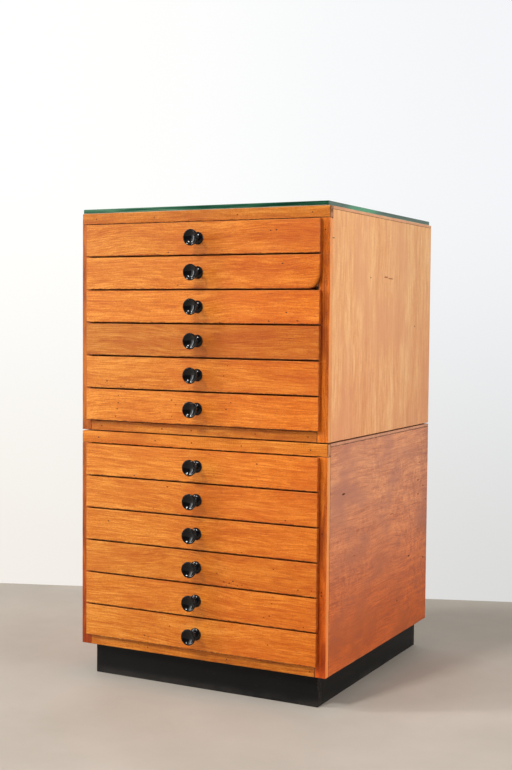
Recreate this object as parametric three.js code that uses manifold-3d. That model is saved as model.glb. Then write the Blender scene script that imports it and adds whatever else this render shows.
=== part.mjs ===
// Flat file cabinet: two stacked six-drawer plywood cases on a black plinth, with a loose glass top.
// Millimetres, +Z up. The drawers open towards -Y. The origin is at the bottom centre of the whole
// object's box, knobs included.
import * as THREE from "three";
import { mergeVertices } from "three/addons/utils/BufferGeometryUtils.js";
import Module from "manifold-3d";

const wasm = await Module();
wasm.setup();

// ---- Driving dimensions -------------------------------------------------------------------------

// Each case is a box with a face frame planted on its front.
const CASE_WIDTH = 500;
const CASE_DEPTH = 500;
const CASE_HEIGHT = 400;
const FRAME_DEPTH = 12; // stiles and rails, front to back
const STILE_WIDTH = 20;
const SIDE_THICKNESS = 12;
const PANEL_THICKNESS = 5; // top and bottom panels
const BACK_THICKNESS = 6;

// A runner board lines each side: a thin board with one runner strip under each drawer.
const RUNNER_BOARD_THICKNESS = 8;
const RUNNER_WIDTH = 10;
const RUNNER_THICKNESS = 6;

// The drawers, counted from the top of the cabinet.
const DRAWERS_PER_CASE = 6;
const DRAWER_PITCH = 60;
const FRONT_GAP = 2.5; // between one drawer front and the next
const FRONT_OVERLAP = 5.5; // how far a front covers the stile at each end
const FRONT_THICKNESS = 8;
const FRONT_CLEARANCE = 0.5; // between a shut front and the face frame
const WORN_DRAWER = 2; // its front has lost its lower right corner
const WORN_CORNER_WIDTH = 26;
const WORN_CORNER_HEIGHT = 38;
const WORN_CORNER_POWER = 3; // of the superellipse that the corner follows
const WORN_CORNER_STEPS = 12;
const TRAY_LENGTH = 480;
const TRAY_HEIGHT = 50;
const TRAY_SIDE_CLEARANCE = 1.5; // to the stile at each side
const TRAY_RUNNER_CLEARANCE = 0.5; // above the runner strip
const TRAY_WALL = 8;
const TRAY_BOTTOM = 4;

// The knobs are turned, with a spigot glued in a hole through the front.
const KNOB_BASE_RADIUS = 11.3;
const KNOB_NECK_RADIUS = 4.2;
const KNOB_HEAD_RADIUS = 14.5;
const KNOB_LENGTH = 27;
const KNOB_DISH = 3.8; // how deep the face is hollowed
const SPIGOT_RADIUS = 4;
const SPIGOT_HOLE_RADIUS = 4.4;
const SPIGOT_LENGTH = 7.5;
const KNOB_SEGMENTS = 24;

// The plinth is one mitred frame. It stands a little to the left of centre and is flush at the back.
const PLINTH_HEIGHT = 58.5;
const PLINTH_WIDTH = 458;
const PLINTH_SHIFT = -2.5;
const PLINTH_FRONT_INSET = 21;
const PLINTH_BOARD = 18;

// The glass lies loose on the upper case, a little to the left of centre.
const GLASS_WIDTH = 496;
const GLASS_DEPTH = 498;
const GLASS_THICKNESS = 8;
const GLASS_SHIFT = -1.5;
const GLASS_FRONT_INSET = 1;
const GLASS_ARRIS = 0.8; // the ground bevel along its edges
const GLASS_CORNER_RADIUS = 3;

// The lower case's drawers stand 2 mm lower in their case than the upper case's.
const CASES = [
  { name: "lower", base: PLINTH_HEIGHT, bottomRail: 18, firstDrawer: 7 },
  { name: "upper", base: PLINTH_HEIGHT + CASE_HEIGHT, bottomRail: 20, firstDrawer: 1 },
];

// ---- Sizes worked out from them -----------------------------------------------------------------

const HALF_WIDTH = CASE_WIDTH / 2;
const OPENING_HALF = HALF_WIDTH - STILE_WIDTH;
const SIDE_INNER = HALF_WIDTH - SIDE_THICKNESS;
const FRONT_HALF = OPENING_HALF + FRONT_OVERLAP;
const FRONT_HEIGHT = DRAWER_PITCH - FRONT_GAP;
const TRAY_HALF = OPENING_HALF - TRAY_SIDE_CLEARANCE;
const RUNNER_TOP = 4.5; // above the bottom of each drawer's place
const TRAY_BASE = RUNNER_TOP + TRAY_RUNNER_CLEARANCE;
const FRONT_PROUD = FRONT_THICKNESS + FRONT_CLEARANCE;
const DRAWER_STACK = DRAWERS_PER_CASE * DRAWER_PITCH;
const GLASS_BASE = PLINTH_HEIGHT + CASES.length * CASE_HEIGHT;

// ---- Materials ----------------------------------------------------------------------------------

const FRONT_COLOUR = "#df8232";
const DARK_FRONT_COLOUR = "#c26a34";
const DARK_DRAWER = 4;
const SIDE_COLOURS = { upper: "#dba573", lower: "#b4643c" };

function wood(colour) {
  return new THREE.MeshStandardMaterial({ color: colour, roughness: 0.5, metalness: 0 });
}

function blackPaint() {
  return new THREE.MeshStandardMaterial({ color: "#1c1a1a", roughness: 0.55, metalness: 0 });
}

function blackPlastic() {
  return new THREE.MeshStandardMaterial({ color: "#0c0b0c", roughness: 0.15, metalness: 0 });
}

function greenGlass() {
  return new THREE.MeshStandardMaterial({ color: "#7f9f8c", roughness: 0.05, metalness: 0 });
}

// ---- Geometry helpers ---------------------------------------------------------------------------

const cabinet = new THREE.Group();
cabinet.position.y = -(CASE_DEPTH - FRONT_PROUD - KNOB_LENGTH) / 2;

function add(name, geometry, material) {
  const mesh = new THREE.Mesh(geometry, material);
  mesh.name = name;
  cabinet.add(mesh);
  return mesh;
}

// A box from its low and high limits on each axis.
function block([x0, x1], [y0, y1], [z0, z1]) {
  const geometry = new THREE.BoxGeometry(x1 - x0, y1 - y0, z1 - z0);
  return geometry.translate((x0 + x1) / 2, (y0 + y1) / 2, (z0 + z1) / 2);
}

// The same range on the left (-1) or right (+1) side of the centre plane.
function onSide(side, [inner, outer]) {
  return side < 0 ? [-outer, -inner] : [inner, outer];
}

// An outline in X and Z, extruded from y0 to y1.
function extrudeAlongY(shape, y0, y1) {
  const geometry = new THREE.ExtrudeGeometry(shape, { depth: y1 - y0, bevelEnabled: false });
  return geometry.rotateX(Math.PI / 2).translate(0, y1, 0);
}

function rectangle(x0, x1, y0, y1) {
  return [
    new THREE.Vector2(x0, y0),
    new THREE.Vector2(x1, y0),
    new THREE.Vector2(x1, y1),
    new THREE.Vector2(x0, y1),
  ];
}

function toSolid(geometry) {
  const bare = geometry.clone();
  bare.deleteAttribute("normal");
  bare.deleteAttribute("uv");
  const merged = mergeVertices(bare);
  return new wasm.Manifold(
    new wasm.Mesh({
      numProp: 3,
      vertProperties: merged.attributes.position.array,
      triVerts: new Uint32Array(merged.index.array),
    }),
  );
}

function toGeometry(solid) {
  const mesh = solid.getMesh();
  const geometry = new THREE.BufferGeometry();
  geometry.setAttribute("position", new THREE.BufferAttribute(mesh.vertProperties, 3));
  geometry.setIndex(new THREE.BufferAttribute(mesh.triVerts, 1));
  geometry.computeVertexNormals();
  return geometry;
}

// ---- The cases ----------------------------------------------------------------------------------

// The board and its strips in X and Z, for the right-hand side; z is above the case's bottom.
function runnerBoardShape(bottomRail, side) {
  const boardFace = SIDE_INNER - RUNNER_BOARD_THICKNESS;
  const stripFace = boardFace - RUNNER_WIDTH;
  const points = [
    [SIDE_INNER, PANEL_THICKNESS],
    [SIDE_INNER, CASE_HEIGHT - PANEL_THICKNESS],
    [boardFace, CASE_HEIGHT - PANEL_THICKNESS],
  ];
  for (let slot = DRAWERS_PER_CASE - 1; slot >= 0; slot -= 1) {
    const top = bottomRail + slot * DRAWER_PITCH + RUNNER_TOP;
    points.push([boardFace, top], [stripFace, top]);
    points.push([stripFace, top - RUNNER_THICKNESS], [boardFace, top - RUNNER_THICKNESS]);
  }
  points.push([boardFace, PANEL_THICKNESS]);
  return new THREE.Shape(points.map(([x, z]) => new THREE.Vector2(side * x, z)));
}

function addCaseSide(unit, side) {
  const label = `${unit.name}_${side < 0 ? "left" : "right"}`;
  const colour = SIDE_COLOURS[unit.name];
  const railBottom = unit.base + unit.bottomRail + DRAWER_STACK;
  const panelTop = unit.base + CASE_HEIGHT - PANEL_THICKNESS;
  const inside = CASE_DEPTH - BACK_THICKNESS;

  const stile = block(
    onSide(side, [OPENING_HALF, HALF_WIDTH]),
    [0, FRAME_DEPTH],
    [unit.base, railBottom],
  );
  add(`${label}_stile`, stile, wood("#bd5f26"));

  const panel = block(
    onSide(side, [SIDE_INNER, HALF_WIDTH]),
    [FRAME_DEPTH, CASE_DEPTH],
    [unit.base, panelTop],
  );
  add(`${label}_side_panel`, panel, wood(colour));

  const runners = extrudeAlongY(runnerBoardShape(unit.bottomRail, side), FRAME_DEPTH, inside);
  add(`${label}_runner_board`, runners, wood("#c79c68")).position.z = unit.base;
}

function addCase(unit) {
  const top = unit.base + CASE_HEIGHT;
  const openingBottom = unit.base + unit.bottomRail;
  const openingTop = openingBottom + DRAWER_STACK;
  const fullWidth = [-HALF_WIDTH, HALF_WIDTH];
  const betweenSides = [-SIDE_INNER, SIDE_INNER];
  const frameDepth = [0, FRAME_DEPTH];
  const insideDepth = [FRAME_DEPTH, CASE_DEPTH - BACK_THICKNESS];
  const panelTop = top - PANEL_THICKNESS;

  addCaseSide(unit, -1);
  addCaseSide(unit, 1);

  const topRail = block(fullWidth, frameDepth, [openingTop, top]);
  add(`${unit.name}_top_rail`, topRail, wood("#c9702f"));
  const bottomRail = block(
    [-OPENING_HALF, OPENING_HALF],
    frameDepth,
    [unit.base, openingBottom],
  );
  add(`${unit.name}_bottom_rail`, bottomRail, wood("#c9702f"));

  const topPanel = block(fullWidth, [FRAME_DEPTH, CASE_DEPTH], [panelTop, top]);
  add(`${unit.name}_top_panel`, topPanel, wood(SIDE_COLOURS[unit.name]));
  const bottomPanel = block(
    betweenSides,
    insideDepth,
    [unit.base, unit.base + PANEL_THICKNESS],
  );
  add(`${unit.name}_bottom_panel`, bottomPanel, wood("#c79c68"));
  const backPanel = block(
    betweenSides,
    [CASE_DEPTH - BACK_THICKNESS, CASE_DEPTH],
    [unit.base, panelTop],
  );
  add(`${unit.name}_back_panel`, backPanel, wood("#b98a58"));
}

// ---- The drawers --------------------------------------------------------------------------------

// Centred on the knob hole.
function frontGeometry(isWorn) {
  const half = FRONT_HEIGHT / 2;
  const shape = new THREE.Shape();
  shape.moveTo(FRONT_HALF, half);
  shape.lineTo(-FRONT_HALF, half);
  shape.lineTo(-FRONT_HALF, -half);
  if (isWorn) {
    const x = FRONT_HALF - WORN_CORNER_WIDTH;
    const z = WORN_CORNER_HEIGHT - half;
    for (let step = 0; step <= WORN_CORNER_STEPS; step += 1) {
      const angle = ((step / WORN_CORNER_STEPS) * Math.PI) / 2;
      const across = Math.sin(angle) ** (2 / WORN_CORNER_POWER);
      const down = Math.cos(angle) ** (2 / WORN_CORNER_POWER);
      shape.lineTo(x + WORN_CORNER_WIDTH * across, z - WORN_CORNER_HEIGHT * down);
    }
  } else {
    shape.lineTo(FRONT_HALF, -half);
  }
  const hole = new THREE.Path();
  hole.absarc(0, 0, SPIGOT_HOLE_RADIUS, 0, 2 * Math.PI, true);
  shape.holes.push(hole);
  return extrudeAlongY(shape, -FRONT_PROUD, -FRONT_CLEARANCE);
}

// An open-topped box behind the front, with its underside at z = 0.
function trayGeometry() {
  const back = TRAY_LENGTH - FRONT_CLEARANCE;
  const outer = block([-TRAY_HALF, TRAY_HALF], [-FRONT_CLEARANCE, back], [0, TRAY_HEIGHT]);
  const insideHalf = TRAY_HALF - TRAY_WALL;
  const inner = block(
    [-insideHalf, insideHalf],
    [TRAY_WALL - FRONT_CLEARANCE, back - TRAY_WALL],
    [TRAY_BOTTOM, TRAY_HEIGHT + TRAY_WALL],
  );
  return toGeometry(toSolid(outer).subtract(toSolid(inner)));
}

// Turned about Y and centred on the spigot's axis; its base rests on the front's face.
function knobGeometry() {
  const profile = [
    [0, -SPIGOT_LENGTH],
    [SPIGOT_RADIUS, -SPIGOT_LENGTH],
    [SPIGOT_RADIUS, 0],
    [KNOB_BASE_RADIUS, 0],
    [KNOB_BASE_RADIUS, 1.6],
    [KNOB_BASE_RADIUS - 0.9, 2.8],
    [KNOB_BASE_RADIUS - 2.7, 3.4],
    [KNOB_NECK_RADIUS + 0.7, 4.1],
    [KNOB_NECK_RADIUS, 5.2],
    [KNOB_NECK_RADIUS, 11],
    [KNOB_NECK_RADIUS + 2, 16.6],
    [KNOB_HEAD_RADIUS - 3, 21.5],
    [KNOB_HEAD_RADIUS - 0.3, 23.7],
    [KNOB_HEAD_RADIUS, 25],
    [KNOB_HEAD_RADIUS - 0.7, 26.5],
    [KNOB_HEAD_RADIUS - 2, KNOB_LENGTH],
    [0.7 * KNOB_HEAD_RADIUS, KNOB_LENGTH - 0.35 * KNOB_DISH],
    [0.4 * KNOB_HEAD_RADIUS, KNOB_LENGTH - 0.8 * KNOB_DISH],
    [0, KNOB_LENGTH - KNOB_DISH],
  ];
  const points = profile.map(([radius, out]) => new THREE.Vector2(radius, out));
  return new THREE.LatheGeometry(points, KNOB_SEGMENTS).rotateX(Math.PI);
}

function addDrawer(number, placeBottom) {
  const label = `drawer_${String(number).padStart(2, "0")}`;
  const centre = placeBottom + DRAWER_PITCH / 2;
  const colour = number === DARK_DRAWER ? DARK_FRONT_COLOUR : FRONT_COLOUR;
  add(`${label}_front`, frontGeometry(number === WORN_DRAWER), wood(colour)).position.z = centre;
  add(`${label}_tray`, trayGeometry(), wood("#cfa774")).position.z = placeBottom + TRAY_BASE;
  add(`${label}_knob`, knobGeometry(), blackPlastic()).position.set(0, -FRONT_PROUD, centre);
}

// ---- Plinth and glass ---------------------------------------------------------------------------

function plinthGeometry() {
  const half = PLINTH_WIDTH / 2;
  const shape = new THREE.Shape(rectangle(-half, half, PLINTH_FRONT_INSET, CASE_DEPTH));
  const inside = rectangle(
    PLINTH_BOARD - half,
    half - PLINTH_BOARD,
    PLINTH_FRONT_INSET + PLINTH_BOARD,
    CASE_DEPTH - PLINTH_BOARD,
  );
  shape.holes.push(new THREE.Path(inside.reverse()));
  return new THREE.ExtrudeGeometry(shape, { depth: PLINTH_HEIGHT, bevelEnabled: false });
}

// A rounded rectangle in from the sheet's edges by the arris, which the bevel gives back.
function glassGeometry() {
  const x = GLASS_WIDTH / 2 - GLASS_ARRIS;
  const y = GLASS_DEPTH / 2 - GLASS_ARRIS;
  const r = GLASS_CORNER_RADIUS - GLASS_ARRIS;
  const shape = new THREE.Shape();
  shape.absarc(x - r, y - r, r, 0, Math.PI / 2);
  shape.absarc(r - x, y - r, r, Math.PI / 2, Math.PI);
  shape.absarc(r - x, r - y, r, Math.PI, 1.5 * Math.PI);
  shape.absarc(x - r, r - y, r, 1.5 * Math.PI, 2 * Math.PI);
  const geometry = new THREE.ExtrudeGeometry(shape, {
    depth: GLASS_THICKNESS - 2 * GLASS_ARRIS,
    curveSegments: 4,
    bevelThickness: GLASS_ARRIS,
    bevelSize: GLASS_ARRIS,
    bevelSegments: 1,
  });
  return geometry.translate(0, 0, GLASS_ARRIS);
}

// ---- Assembly -----------------------------------------------------------------------------------

add("plinth_frame", plinthGeometry(), blackPaint()).position.x = PLINTH_SHIFT;

for (const unit of CASES) {
  addCase(unit);
  for (let row = 0; row < DRAWERS_PER_CASE; row += 1) {
    const slot = DRAWERS_PER_CASE - 1 - row;
    const placeBottom = unit.base + unit.bottomRail + slot * DRAWER_PITCH;
    addDrawer(unit.firstDrawer + row, placeBottom);
  }
}

const glassCentreY = GLASS_FRONT_INSET + GLASS_DEPTH / 2;
add("glass_top", glassGeometry(), greenGlass()).position.set(GLASS_SHIFT, glassCentreY, GLASS_BASE);

export default cabinet;
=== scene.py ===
"""Flat file cabinet: the visible pieces, materials, studio and camera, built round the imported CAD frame.

Lengths are metres in the row frame: +Z up, the drawers open towards -Y, the origin at the bottom centre.
"""

import math
import random

import bpy
from mathutils import Matrix, Vector, noise


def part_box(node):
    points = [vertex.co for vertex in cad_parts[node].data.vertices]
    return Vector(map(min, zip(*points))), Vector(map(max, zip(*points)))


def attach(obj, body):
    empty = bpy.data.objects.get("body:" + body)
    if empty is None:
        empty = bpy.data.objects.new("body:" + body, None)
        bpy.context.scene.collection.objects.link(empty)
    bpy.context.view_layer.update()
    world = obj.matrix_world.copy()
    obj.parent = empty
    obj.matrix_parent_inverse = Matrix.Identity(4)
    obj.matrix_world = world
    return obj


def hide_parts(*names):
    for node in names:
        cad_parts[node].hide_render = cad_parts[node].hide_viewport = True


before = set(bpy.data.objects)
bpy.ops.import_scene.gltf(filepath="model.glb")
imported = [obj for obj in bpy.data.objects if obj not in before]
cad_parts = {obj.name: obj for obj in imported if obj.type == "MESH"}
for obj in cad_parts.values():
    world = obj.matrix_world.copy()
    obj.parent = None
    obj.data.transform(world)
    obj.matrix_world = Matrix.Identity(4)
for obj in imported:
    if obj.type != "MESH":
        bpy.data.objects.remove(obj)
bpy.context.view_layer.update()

MM = 0.001
X, Y, Z = 0, 1, 2
ROOT = "cabinet"
CASES = ("lower", "upper")
DRAWERS = [f"drawer_{number:02d}" for number in range(1, 13)]
DARK_DRAWER = "drawer_04"
WORN_DRAWER = "drawer_02"

# The camera stands where the photograph's straight edges say, for a case 500 mm wide.
CAMERA_PLACE = Vector((1.1038, -2.1514, 0.6694))
CAMERA_YAW = math.radians(27.306)
CAMERA_PITCH = math.radians(-3.052)
CAMERA_ROLL = math.radians(0.477)
CAMERA_LENS = 58.57
CAMERA_SENSOR = 36.0


# ---- Node graphs ----


class Graph:
    """Adds shader nodes to a material or world. An input is a socket to link or a value to set."""

    def __init__(self, owner):
        self.owner = owner
        owner.use_nodes = True
        self.tree = owner.node_tree
        self.tree.nodes.clear()

    def node(self, kind, inputs=None, **settings):
        made = self.tree.nodes.new(kind)
        for key, value in settings.items():
            setattr(made, key, value)
        for key, value in (inputs or {}).items():
            self.feed(made.inputs[key], value)
        return made

    def feed(self, socket, value):
        if isinstance(value, bpy.types.NodeSocket):
            self.tree.links.new(value, socket)
        else:
            socket.default_value = value

    def attribute(self, name):
        return self.node("ShaderNodeAttribute", attribute_name=name)

    def axis(self, vector, index):
        parts = self.node("ShaderNodeSeparateXYZ", {0: vector})
        return parts.outputs[index]

    def scaled(self, vector, scale, shift=(0, 0, 0)):
        made = self.node("ShaderNodeMapping", {"Vector": vector, "Scale": scale, "Location": shift})
        return made.outputs[0]

    def noise(self, vector, scale=1.0, detail=2.0, roughness=0.5, distortion=0.0):
        inputs = {
            "Vector": vector,
            "Scale": scale,
            "Detail": detail,
            "Roughness": roughness,
            "Distortion": distortion,
        }
        return self.node("ShaderNodeTexNoise", inputs).outputs["Fac"]

    def math(self, operation, a, b=0.0, c=0.0, clamp=False):
        inputs = {0: a, 1: b, 2: c}
        made = self.node("ShaderNodeMath", inputs, operation=operation, use_clamp=clamp)
        return made.outputs[0]

    def add(self, *values):
        total = values[0]
        for value in values[1:]:
            total = self.math("ADD", total, value)
        return total

    def times(self, a, b):
        return self.math("MULTIPLY", a, b)

    def centred(self, value, gain):
        """gain * (value - 0.5), for adding a noise without shifting the mean."""
        return self.math("MULTIPLY_ADD", value, gain, -0.5 * gain)

    def span(self, value, low, high, out_low=0.0, out_high=1.0, smooth=True):
        inputs = {0: value, 1: low, 2: high, 3: out_low, 4: out_high}
        kind = "SMOOTHSTEP" if smooth else "LINEAR"
        return self.node("ShaderNodeMapRange", inputs, interpolation_type=kind).outputs[0]

    def ramp(self, value, stops):
        made = self.node("ShaderNodeValToRGB", {0: value})
        elements = made.color_ramp.elements
        while len(elements) < len(stops):
            elements.new(0.5)
        for element, (place, colour) in zip(elements, stops):
            element.position = place
            element.color = (*colour, 1.0)
        return made.outputs[0]

    def mix(self, factor, a, b, kind="MIX"):
        made = self.node("ShaderNodeMix", data_type="RGBA", blend_type=kind)
        self.feed(made.inputs["Factor"], factor)
        self.feed(made.inputs["A"], a if not isinstance(a, tuple) else (*a, 1.0))
        self.feed(made.inputs["B"], b if not isinstance(b, tuple) else (*b, 1.0))
        return made.outputs["Result"]

    def spots(self, vector, cell, radius, share):
        """Round marks: in a share of the cells, one mark of up to the given radius."""
        scale = 1.0 / cell
        moved = self.scaled(vector, (scale, scale, scale))
        cells = self.node("ShaderNodeTexVoronoi", {"Vector": moved, "Scale": 1.0, "Randomness": 0.85})
        pick = self.axis(cells.outputs["Color"], 0)
        size = self.span(self.axis(cells.outputs["Color"], 1), 0, 1, 0.4 * radius / cell, radius / cell)
        near = self.math("DIVIDE", cells.outputs["Distance"], size)
        mark = self.span(near, 0.6, 1.1, 1.0, 0.0)
        chosen = self.math("LESS_THAN", pick, share)
        return self.times(mark, chosen)

    def bump(self, height, strength, distance):
        inputs = {"Height": height, "Strength": strength, "Distance": distance}
        return self.node("ShaderNodeBump", inputs).outputs[0]

    def toned(self, colour):
        """Lightens or darkens the colour by the tone that Shell stores for each board."""
        tone = self.attribute("tone").outputs["Fac"]
        level = self.node("ShaderNodeCombineColor", {0: tone, 1: tone, 2: tone}).outputs[0]
        return self.mix(1.0, colour, level, "MULTIPLY")

    def finish(self, colour, roughness, normal=None, specular=0.5):
        """Ends the graph in a Principled shader; the constants are set on its own sockets."""
        shader = self.node("ShaderNodeBsdfPrincipled", {"Base Color": colour, "Roughness": roughness})
        shader.inputs["Specular IOR Level"].default_value = specular
        if normal is not None:
            self.feed(shader.inputs["Normal"], normal)
        self.node("ShaderNodeOutputMaterial", {"Surface": shader.outputs[0]})
        return self.owner


# ---- Materials ----


PLANER_PITCH = 4.2 * MM  # between two planer marks
PIT_CELL = 12 * MM
PIT_RADIUS = 1.2 * MM
PIT_REACH = 14 * MM  # how far in from a board's edge the pits stay frequent
RUBBED_WIDTH = 1.6 * MM  # of the rubbed band along an arris
PLY_PAIR = 3.2 * MM  # one light and one dark layer of ply
PLY_CONTRAST = 0.7
KNOT_CELL = 110 * MM
KNOT_RADIUS = 6 * MM
DUST_HEIGHT = 18 * MM  # of the dusty band low on the plinth


def faded(colour, share):
    return tuple(share * c for c in colour)


class Look:
    """How one board's varnished wood looks. The colours are linear."""

    def __init__(self, dark, middle, light, blush, **changes):
        self.dark = dark
        self.middle = middle
        self.light = light
        self.blush = blush  # what the cloudy patches lean towards
        self.edge_face = None  # the colour of the board's long narrow faces
        self.end_face = faded(dark, 0.3)
        self.figure = 1.0
        self.fibre = 1.0
        self.streaks = 7.0  # how many to the metre along the grain
        self.patches = 0.8
        self.clouds = 0.5
        self.ripple = 0.0  # waves across the grain
        self.chatter = 0.0  # planer marks across the grain
        self.pits = 0.10  # the share of cells that hold one
        self.roughness = 0.42
        self.sheen = 0.28
        self.cloud_size = 1.0
        self.dashes = 0.42  # the strength of the short dark pores
        # What the colour is multiplied by low down, at the back, and at the right as painted shade, and
        # where each starts and is full.
        self.low_tint = None
        self.low_tint_range = (0.42, 0.07)
        self.back_tint = None
        self.back_tint_range = (0.17, 0.28)
        self.right_painted_shade = None
        self.right_painted_shade_range = (-0.23, 0.23)
        self.dirt_width = 2.0 * MM
        for key, value in changes.items():
            setattr(self, key, value)


def varnished_wood(name, look):
    """Wood under an old clear varnish, from the attributes that Shell stores."""
    g = Graph(bpy.data.materials.new(name))
    grain = g.attribute("grain").outputs["Vector"]
    rim = g.attribute("rim").outputs["Vector"]
    seams = g.attribute("seams").outputs["Vector"]
    faces = g.attribute("faces").outputs["Vector"]
    place = g.attribute("place").outputs["Vector"]

    # The grain lines wander a few millimetres up and down along the board.
    drift = g.noise(g.scaled(grain, (5, 9, 9)), detail=1)
    offset = g.node("ShaderNodeCombineXYZ", {1: g.centred(drift, 0.030), 2: g.centred(drift, 0.015)})
    flow = g.node("ShaderNodeVectorMath", {0: grain, 1: offset.outputs[0]}, operation="ADD").outputs[0]

    broad = g.noise(g.scaled(flow, (3.5, 42, 42)), detail=2, roughness=0.55)
    streaks = g.noise(g.scaled(flow, (look.streaks, 160, 160)), detail=2, roughness=0.6, distortion=0.2)
    threads = g.noise(g.scaled(flow, (24, 500, 500)), detail=2, roughness=0.7)
    dashes = g.noise(g.scaled(flow, (190, 900, 900), (3, 1, 7)), detail=1)
    spread = tuple(c / look.cloud_size for c in (9, 15, 15))
    cloud = g.noise(g.scaled(grain, spread, (3.1, 1.7, 0.4)), detail=3, roughness=0.6)
    patch = g.noise(g.scaled(grain, (38, 60, 60), (0.6, 5.2, 2.3)), detail=2, roughness=0.65)
    speckle = g.noise(g.scaled(grain, (420, 620, 620), (1.3, 0.2, 5.5)), detail=1)

    shade = g.add(
        0.5,
        g.centred(broad, 0.80 * look.figure),
        g.centred(streaks, 0.75 * look.figure),
        g.centred(threads, 0.80 * look.fibre),
        g.centred(patch, 0.45 * look.patches),
        g.centred(speckle, 0.64),
    )
    if look.ripple:
        waves = g.noise(g.scaled(flow, (55, 48, 48), (2.2, 0.9, 6.1)), detail=2, distortion=1.4)
        held = g.span(g.noise(g.scaled(grain, (6, 7, 7), (8, 3, 1))), 0.40, 0.60)
        shade = g.add(shade, g.times(g.centred(waves, look.ripple), held))
    if look.chatter:
        along = g.add(g.axis(grain, 0), g.centred(streaks, 0.002))
        ridge = g.math("SINE", g.times(along, 2 * math.pi / PLANER_PITCH))
        where = g.span(g.noise(g.scaled(grain, (9, 30, 30), (5, 5, 2))), 0.50, 0.62)
        shade = g.add(shade, g.times(g.times(ridge, where), 0.16 * look.chatter))

    places = zip((0.08, 0.5, 0.92), (look.dark, look.middle, look.light))
    colour = g.ramp(shade, list(places))
    colour = g.mix(g.span(cloud, 0.46, 0.68, 0, look.clouds), colour, look.blush)
    dash_mask = g.span(dashes, 0.62, 0.76, 0, look.dashes)
    colour = g.mix(dash_mask, colour, faded(look.dark, 0.5))

    # Dents and pin holes gather along the board's edges.
    across_edge = g.math("MINIMUM", g.axis(rim, 1), g.axis(rim, 2))
    near_edge = g.span(across_edge, 0.0, PIT_REACH, 1, 0.22)
    dots = g.times(g.spots(grain, PIT_CELL, PIT_RADIUS, look.pits), near_edge)
    colour = g.mix(g.times(dots, 0.9), colour, faded(look.dark, 0.1))

    if look.edge_face:
        edge_stops = [(0.1, faded(look.edge_face, 0.8)), (0.9, faded(look.edge_face, 1.15))]
        colour = g.mix(g.axis(faces, 1), colour, g.ramp(shade, edge_stops))
    colour = g.mix(g.times(g.axis(faces, 0), 0.9), colour, look.end_face)

    # The colour is multiplied darker low down and towards the back; towards the right that is painted shade.
    tints_and_painted_shade = (
        (2, look.low_tint, look.low_tint_range, 0.10),
        (1, look.back_tint, look.back_tint_range, 0.08),
        (0, look.right_painted_shade, look.right_painted_shade_range, 0.10),
    )
    for axis, toning, (start, full), wander in tints_and_painted_shade:
        if toning:
            distance = g.add(g.axis(place, axis), g.centred(cloud, wander))
            colour = g.mix(g.span(distance, start, full), colour, toning, "MULTIPLY")

    # Dirt sits in the joints, in ragged lines; the free arrises are rubbed paler in long strokes.
    to_end, to_broad = g.axis(rim, 0), g.axis(faces, 2)
    lines = (
        g.add(to_end, g.math("MINIMUM", to_broad, across_edge)),
        g.add(g.axis(rim, 1), to_broad),
        g.add(g.axis(rim, 2), to_broad),
    )
    ragged = g.noise(g.scaled(grain, (150, 150, 150), (9, 2, 4)), detail=2)
    width = g.span(ragged, 0.3, 0.7, 0.25 * look.dirt_width, 1.3 * look.dirt_width, smooth=False)
    dirt = 0.0
    for side, distance in enumerate(lines):
        share = g.math("DIVIDE", distance, width)
        line = g.times(g.span(share, 0.45, 1.1, 1, 0), g.axis(seams, side))
        dirt = g.math("MAXIMUM", dirt, line)
    stroke = g.noise(g.scaled(grain, (16, 120, 120), (6, 1, 3)), detail=2)
    nearest = g.math("MINIMUM", lines[0], g.math("MINIMUM", lines[1], lines[2]))
    arris = g.span(nearest, 0.0, RUBBED_WIDTH, 1, 0)
    rubbed = g.times(arris, g.span(stroke, 0.40, 0.66, 0.0, 0.35))
    pale = tuple(min(1.0, 1.15 * c + 0.04) for c in look.light)
    colour = g.mix(rubbed, colour, pale)
    colour = g.toned(g.mix(g.times(dirt, 0.88), colour, faded(look.dark, 0.12)))

    gloss = g.add(
        look.roughness,
        g.centred(cloud, 0.22),
        g.centred(threads, 0.16),
        g.times(arris, 0.08),
        g.times(dirt, 0.25),
    )
    height = g.add(
        g.times(threads, 0.6),
        g.times(streaks, 0.5),
        g.times(speckle, 0.5),
        g.times(dash_mask, -1.2),
        g.times(dots, -2.5),
    )
    normal = g.bump(height, 0.5, 0.0006)
    return g.finish(colour, gloss, normal, specular=look.sheen)


def bare_wood(name, stops):
    """Unfinished ply, with its layers showing on the boards' edges."""
    g = Graph(bpy.data.materials.new(name))
    grain = g.attribute("grain").outputs["Vector"]
    faces = g.attribute("faces").outputs["Vector"]
    broad = g.noise(g.scaled(grain, (2, 26, 26)), detail=3, distortion=0.6)
    bands = g.noise(g.scaled(grain, (5, 110, 110)), detail=2, distortion=0.3)
    threads = g.noise(g.scaled(grain, (24, 520, 520)), detail=3, roughness=0.7)
    toning = g.noise(g.scaled(grain, (5, 7, 7), (2, 4, 1)), detail=3)
    shade = g.add(0.5, g.centred(broad, 0.9), g.centred(bands, 0.8), g.centred(threads, 0.7))
    colour = g.ramp(shade, list(zip((0.15, 0.5, 0.85), stops)))
    colour = g.mix(g.span(toning, 0.5, 0.75, 0, 0.35), colour, faded(stops[0], 0.55))
    layer = g.math("SINE", g.times(g.axis(grain, 2), 2 * math.pi / PLY_PAIR))
    edge = g.math("MAXIMUM", g.axis(faces, 0), g.axis(faces, 1))
    layers = g.times(g.span(layer, -0.4, 0.4), g.times(edge, PLY_CONTRAST))
    colour = g.mix(layers, colour, faded(stops[0], 0.42))
    knots = g.spots(grain, KNOT_CELL, KNOT_RADIUS, 0.25)
    colour = g.toned(g.mix(g.times(knots, 0.6), colour, faded(stops[0], 0.3)))
    gloss = g.add(0.72, g.centred(threads, 0.2), g.centred(toning, 0.1))
    normal = g.bump(g.add(threads, g.times(bands, 0.5)), 0.4, 0.0005)
    return g.finish(colour, gloss, normal)


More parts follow.
